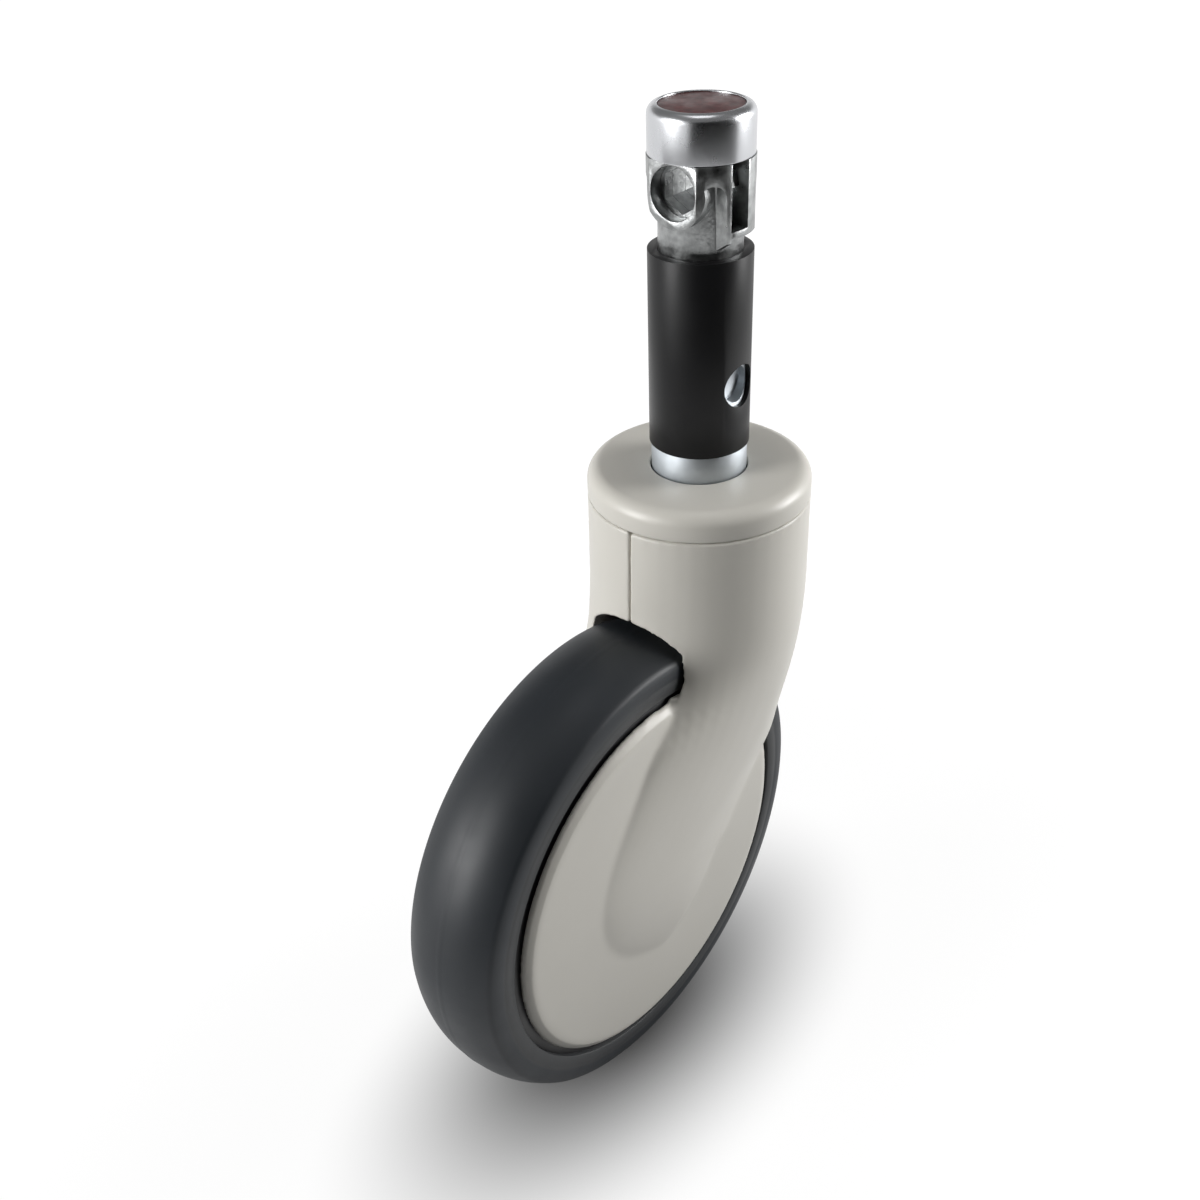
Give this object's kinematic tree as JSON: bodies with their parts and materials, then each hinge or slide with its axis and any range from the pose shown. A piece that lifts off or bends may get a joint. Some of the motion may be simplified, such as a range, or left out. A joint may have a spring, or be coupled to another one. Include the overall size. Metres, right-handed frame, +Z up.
{
  "type": "total lock castor",
  "caption": "Swivel castor with a plug-in stem: a hexagonal bar through the stem's head turns a cam that locks swivel and wheel together.",
  "frame": {"origin": "the stem's axis at the lower end of the sleeve", "axes": "+Z up along the stem, the wheel trails towards -X, +Y to the side that the fork's screws enter from"},
  "size_m": [0.151, 0.064, 0.2906],
  "materials": {
    "shell": "satin moulded nylon, warm light grey",
    "sleeve": "satin black",
    "tyre": "satin dark grey rubber",
    "rim": "moulded grey",
    "zinc": "satin die-cast zinc",
    "cap": "polished",
    "disc": "dark red gloss",
    "steel": "zinc plated",
    "bearing": "ground steel",
    "seal": "black"
  },
  "bodies": {
    "stem": {"stem_tube": "steel", "stem_sleeve": "sleeve", "cam_housing": "zinc", "housing_pin": "steel", "top_cap": "cap", "cap_disc": "disc", "cam_retainer": "steel", "swivel_inner_ring_upper": "bearing", "swivel_inner_ring_lower": "bearing", "swivel_spacer_inner": "steel", "stem_circlip": "steel", "return_spring": "steel"},
    "cam": {"cam_plate": "zinc", "cam_bush_front": "zinc", "cam_bush_rear": "zinc"},
    "rod": {"push_rod": "steel", "cam_follower": "steel", "swivel_lock_disc": "steel", "rod_nut": "steel"},
    "fork": {"fork_shell_left": "shell", "fork_shell_right": "shell", "head_cap": "shell", "dust_seal": "seal", "bearing_carrier": "zinc", "swivel_lock_ring": "steel", "swivel_outer_ring_upper": "bearing", "swivel_outer_ring_lower": "bearing", "swivel_spacer_outer": "steel", "swivel_balls_upper": "bearing", "swivel_balls_lower": "bearing", "shell_screws": "steel", "lever_pin": "steel", "wheel_axle": "steel", "axle_spacer": "steel", "wheel_inner_ring_left": "bearing", "wheel_inner_ring_right": "bearing", "lever_spring": "steel"},
    "lever": {"brake_lever": "zinc", "brake_shoe": "seal"},
    "wheel": {"wheel_rim": "rim", "tyre": "tyre", "wheel_outer_ring_left": "bearing", "wheel_outer_ring_right": "bearing", "wheel_balls_left": "bearing", "wheel_balls_right": "bearing"}
  },
  "joints": [
    {"name": "swivel", "type": "hinge", "parent": "stem", "child": "fork", "pos_m": [0, 0, -0.02], "axis": [0, 0, 1], "continuous": true},
    {"name": "wheel_spin", "type": "hinge", "parent": "fork", "child": "wheel", "pos_m": [-0.044, 0, -0.12375], "axis": [0, 1, 0], "continuous": true},
    {"name": "cam_turn", "type": "hinge", "parent": "stem", "child": "cam", "pos_m": [0, 0, 0.0718], "axis": [-1, 0, 0], "range_deg": [0, 30]},
    {"name": "rod_slide", "type": "slide", "parent": "stem", "child": "rod", "axis": [0, 0, -1], "range_m": [0, 0.0045], "deforming": ["return_spring"]},
    {"name": "brake_swing", "type": "hinge", "parent": "fork", "child": "lever", "pos_m": [0.02, 0, -0.054], "axis": [0, -1, 0], "range_deg": [0, 12.9], "deforming": ["lever_spring"]}
  ],
  "couplings": [
    {"joint": "cam_turn", "follows": "rod_slide", "rad_per_m": 116.3},
    {"joint": "brake_swing", "follows": "rod_slide", "rad_per_m": 50}
  ]
}
